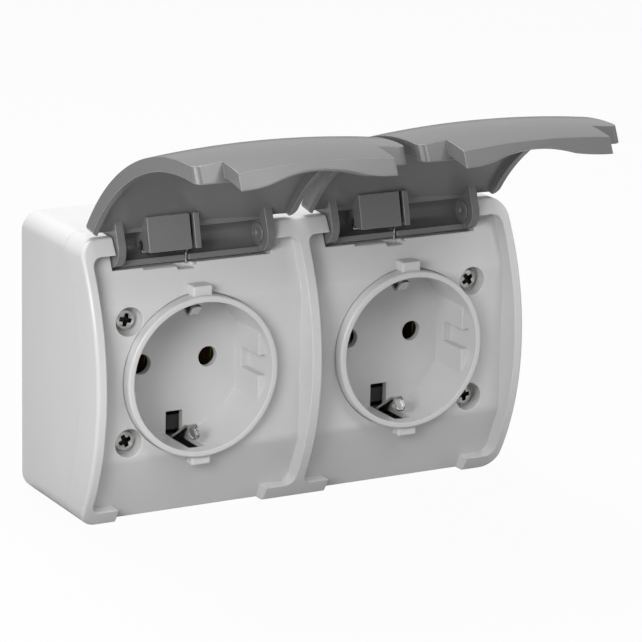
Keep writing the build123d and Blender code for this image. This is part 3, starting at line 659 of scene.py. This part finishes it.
def make_straps(centres, finishes):
    """Bent earth straps and their clamp blocks: the section is carried along the path of STRAP_BENDS.

    At the sprung ends it is narrower by STRAP_TAPER and hollowed, and its tips are rounded off.
    """
    upper = [(-depth, SOCKET_HEIGHT + reach) for depth, reach in STRAP_BENDS]
    lower = [(-depth, SOCKET_HEIGHT - reach) for depth, reach in reversed(STRAP_BENDS)]
    path = rounded_path(upper + lower, STRAP_BEND)
    ahead = np.gradient(path, axis=0)
    ahead /= np.linalg.norm(ahead, axis=1)[:, None]
    for side, cx in centres.items():
        rings = []
        for i, ((y, z), (dy, dz)) in enumerate(zip(path, ahead)):
            sprung = float(smooth_step(np.array((-y - SPRUNG_DEPTH) / SPRUNG_BLEND)))
            from_tip = min(i, len(path) - 1 - i)
            rounding = 1 - TIP_SHRINK * float(np.exp(-(from_tip / TIP_REACH) ** 2))
            u, v = strap_section((STRAP_WIDTH - STRAP_TAPER * sprung) * rounding, -STRAP_HOLLOW * sprung)
            rings.append(np.stack([cx + u, y - v * dz, z + v * dy], 1))
        block = clamp_block(cx)
        piece(f"earth_spring_{side}", [rings, block], finishes["nickelled_strip"], "housing",
              f"earth_strap_{side}")


def clamp_block(cx):
    """Clamp block: a rounded square |u|^10 + |v|^10 = 1 drawn along Z, with its edges taken off."""
    z = SOCKET_HEIGHT - BLOCK_DROP
    middle = -(BLOCK_FRONT + BLOCK_BACK) / 2
    half_depth = (BLOCK_FRONT - BLOCK_BACK) / 2
    angle = np.linspace(0, 2 * pi, 64, endpoint=False)
    u = np.sign(np.cos(angle)) * abs(np.cos(angle)) ** 0.2
    v = np.sign(np.sin(angle)) * abs(np.sin(angle)) ** 0.2
    side = BLOCK_RISE - BLOCK_EDGE
    rings = []
    for shrink, level in ((BLOCK_EDGE, -BLOCK_RISE), (0, -side), (0, side), (BLOCK_EDGE, BLOCK_RISE)):
        across = cx + (BLOCK_HALF - shrink) * u
        rings.append(np.stack([across, middle + (half_depth - shrink) * v, np.full(64, z + level)], 1))
    return rings


def make_grommets(centres, finishes):
    """Cable grommets: rounded flange, neck with its bead, and a ribbed membrane, dented at its middle.

    The bead is the half oval (n + BEAD_RISE sin t - BEAD_TAPER t / pi, BEAD_HALF cos t) under the wall.
    """
    profile = [(POLE, -1.0), (0.7, -0.9), (1.0, -0.6), (1.3, MEMBRANE_TOP)]
    for rib in RIB_PLACES:
        profile += [(rib - 0.35, MEMBRANE_TOP), (rib - 0.2, RIB_TOP)]
        profile += [(rib + 0.2, RIB_TOP), (rib + 0.35, MEMBRANE_TOP)]
    profile += [(GROMMET_BORE - 0.3, MEMBRANE_TOP), (GROMMET_BORE, -0.15)]
    profile += [(GROMMET_BORE, GROMMET_RISE - 0.3), (GROMMET_BORE + 0.3, GROMMET_RISE)]
    profile += arc((GROMMET_FLANGE - FLANGE_ROUND, GROMMET_RISE - FLANGE_ROUND), FLANGE_ROUND, pi / 2, 0, 8)
    profile += [(GROMMET_FLANGE, 0.0), (GROMMET_NECK, 0.0), (GROMMET_NECK, -GROMMET_WALL)]
    for t in np.linspace(0, pi, 9)[1:]:
        bulge = BEAD_RISE * sin(t) - BEAD_TAPER * (t / pi)
        profile.append((GROMMET_NECK + bulge, -GROMMET_WALL - BEAD_HALF + BEAD_HALF * cos(t)))
    profile += [(GROMMET_BORE, -GROMMET_WALL - 2 * BEAD_HALF), (GROMMET_BORE, MEMBRANE_UNDERSIDE)]
    profile.append((POLE, MEMBRANE_UNDERSIDE))
    for side, cx in centres.items():
        skin = turned(profile, (cx, -GROMMET_DEPTH, GROMMET_TOP), (0, 0, 1), 96)
        piece(f"entry_grommet_{side}", [skin], finishes["grommet_rubber"], "housing",
              f"cable_grommet_{side}")


def make_slot_skins(finishes):
    """Thin skins across the wall fixing slots: two ends of radius r joined by straight sides."""
    angle = np.linspace(0, 2 * pi, 48, endpoint=False)
    depths = (-FIXING_DEPTH, SKIN_THICKNESS - FIXING_DEPTH)
    for x, z in FIXING_PLACES:
        u = x + FIXING_RADIUS * np.cos(angle) + np.sign(np.cos(angle)) * (FIXING_LENGTH / 2 - FIXING_RADIUS)
        v = z + FIXING_RADIUS * np.sin(angle)
        rings = [np.stack([u, np.full(48, depth), v], 1) for depth in depths]
        name = f"fixing_skin_{'left' if x < 0 else 'right'}_{'lower' if z < 0 else 'upper'}"
        piece(name, [rings], finishes["grommet_rubber"], "housing", None)


def pale_floor(lowest):
    """Wide pale floor that shows white to the camera and keeps a faint soft shadow."""
    mesh = bpy.data.meshes.new("floor")
    signs = ((-1, -1), (1, -1), (1, 1), (-1, 1))
    corners = [(u * FLOOR_HALF, v * FLOOR_HALF, lowest) for u, v in signs]
    mesh.from_pydata(corners, [], [(0, 1, 2, 3)])
    floor = bpy.data.objects.new("floor", mesh)
    bpy.context.scene.collection.objects.link(floor)
    material = bpy.data.materials.new("pale_floor")
    material.use_nodes = True
    nodes = material.node_tree.nodes
    links = material.node_tree.links
    nodes.clear()
    output = nodes.new("ShaderNodeOutputMaterial")
    paint = nodes.new("ShaderNodeBsdfDiffuse")
    paint.inputs["Color"].default_value = (FLOOR_TONE, FLOOR_TONE, FLOOR_TONE, 1)
    glow = nodes.new("ShaderNodeEmission")
    glow.inputs["Strength"].default_value = 1.0
    path = nodes.new("ShaderNodeLightPath")
    share = nodes.new("ShaderNodeMath")
    share.operation = "MULTIPLY"
    share.inputs[1].default_value = FLOOR_GLOW
    mix = nodes.new("ShaderNodeMixShader")
    links.new(path.outputs["Is Camera Ray"], share.inputs[0])
    links.new(share.outputs[0], mix.inputs["Fac"])
    links.new(paint.outputs[0], mix.inputs[1])
    links.new(glow.outputs[0], mix.inputs[2])
    links.new(mix.outputs[0], output.inputs["Surface"])
    mesh.materials.append(material)


def studio_light():
    """White surroundings, dimmed in mirrors and on the object, and the round lamps of LAMPS.

    A near key lamp stands at the left, a large one above and behind, and weak ones in front and at the right.
    """
    world = bpy.data.worlds.new("studio")
    bpy.context.scene.world = world
    world.use_nodes = True
    nodes = world.node_tree.nodes
    links = world.node_tree.links
    background = nodes["Background"]
    background.inputs["Color"].default_value = (1, 1, 1, 1)
    path = nodes.new("ShaderNodeLightPath")
    dimmed = nodes.new("ShaderNodeMath")
    dimmed.operation = "MULTIPLY"
    dimmed.inputs[1].default_value = MIRRORED
    links.new(path.outputs["Is Glossy Ray"], dimmed.inputs[0])
    seen = nodes.new("ShaderNodeMath")
    seen.operation = "MAXIMUM"
    links.new(path.outputs["Is Camera Ray"], seen.inputs[0])
    links.new(dimmed.outputs[0], seen.inputs[1])
    strength = nodes.new("ShaderNodeMapRange")
    strength.inputs["To Min"].default_value = AMBIENT
    strength.inputs["To Max"].default_value = 1.0
    links.new(seen.outputs[0], strength.inputs["Value"])
    links.new(strength.outputs["Result"], background.inputs["Strength"])
    for name, place, size, power in LAMPS:
        lamp = bpy.data.lights.new(name, "AREA")
        lamp.shape = "DISK"
        lamp.size = size
        lamp.energy = power
        thing = bpy.data.objects.new(name, lamp)
        thing.location = place
        thing.rotation_euler = Vector(place).to_track_quat("Z", "Y").to_euler()
        thing.visible_camera = False
        bpy.context.scene.collection.objects.link(thing)


def main():
    clear_scene()
    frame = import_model()
    cad_bounds = [list(corner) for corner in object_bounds()]
    set_camera()
    finishes = make_finishes()
    dress_nodes(frame, finishes)
    hinges = {}
    for joint in frame["record"]["behaviour"]["joints"]:
        side = joint["child"].removeprefix("lid_")
        hinges[side] = [value / MM for value in joint["pos_m"]]
    centres = {side: hinge[0] for side, hinge in hinges.items()}
    make_springs(hinges, finishes)
    make_ear_bosses(hinges, finishes)
    make_screws(finishes)
    make_straps(centres, finishes)
    make_grommets(centres, finishes)
    make_slot_skins(finishes)
    pale_floor(cad_bounds[0][2])
    studio_light()
    bpy.context.scene.view_settings.view_transform = "Standard"


main()
